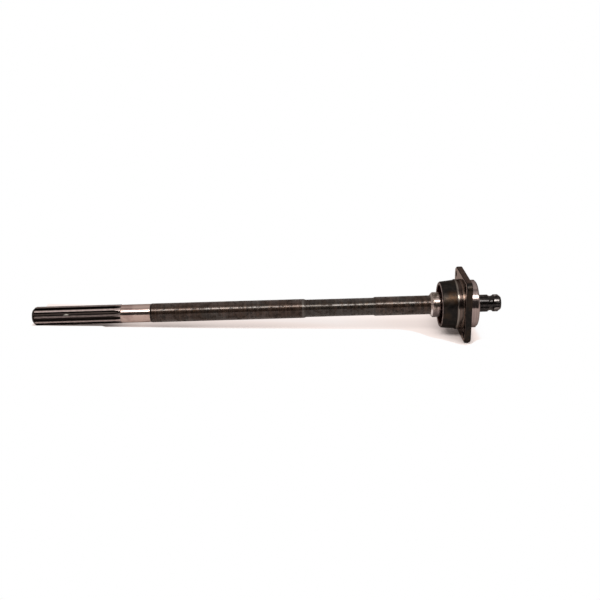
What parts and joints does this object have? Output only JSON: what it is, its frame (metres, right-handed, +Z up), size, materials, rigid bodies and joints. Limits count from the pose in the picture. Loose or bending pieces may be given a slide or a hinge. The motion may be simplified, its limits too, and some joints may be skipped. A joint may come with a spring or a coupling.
{
  "type": "power take-off shaft",
  "caption": "Long turned drive shaft, splined at its front end and on its rear stub, running in a flanged cup housing with a ball bearing and an oil seal.",
  "frame": {"origin": "on the shaft axis, in the plane of the flange's front face", "axes": "+X along the shaft towards the rear output stub, -X towards the front spline, +Z up, -Y towards the side that the picture shows"},
  "size_m": [0.9454, 0.126, 0.126],
  "materials": {
    "shaft_steel": "turned and blackened, bright on the neck, the seal land and the worn spline crests",
    "collar_steel": "bright turned",
    "bearing_steel": "ground and polished",
    "cage_steel": "pressed sheet, satin",
    "spring_steel": "phosphated, dark",
    "housing_iron": "as cast, oiled, with bright machined faces",
    "seal_case_steel": "drawn sheet, satin",
    "seal_rubber": "moulded, matt"
  },
  "bodies": {
    "housing": {"bearing_housing": "housing_iron", "bearing_outer_race": "bearing_steel", "housing_snap_ring": "spring_steel", "oil_seal_case": "seal_case_steel", "oil_seal_lip": "seal_rubber", "seal_garter_spring": "spring_steel"},
    "shaft": {"pto_shaft": "shaft_steel", "bearing_collar": "collar_steel", "bearing_inner_race": "bearing_steel"},
    "cage": {"cage_front_half": "cage_steel", "cage_rear_half": "cage_steel", "cage_rivets": "cage_steel", "bearing_ball_1": "bearing_steel", "bearing_ball_2": "bearing_steel", "bearing_ball_3": "bearing_steel", "bearing_ball_4": "bearing_steel", "bearing_ball_5": "bearing_steel", "bearing_ball_6": "bearing_steel", "bearing_ball_7": "bearing_steel", "bearing_ball_8": "bearing_steel", "bearing_ball_9": "bearing_steel"}
  },
  "joints": [
    {"name": "shaft_spin", "type": "hinge", "parent": "housing", "child": "shaft", "pos_m": [0, 0, 0], "axis": [1, 0, 0], "continuous": true},
    {"name": "cage_spin", "type": "hinge", "parent": "housing", "child": "cage", "pos_m": [-0.01835, 0, 0], "axis": [1, 0, 0], "continuous": true}
  ],
  "couplings": [
    {"joint": "cage_spin", "follows": "shaft_spin", "ratio": 0.4008}
  ]
}
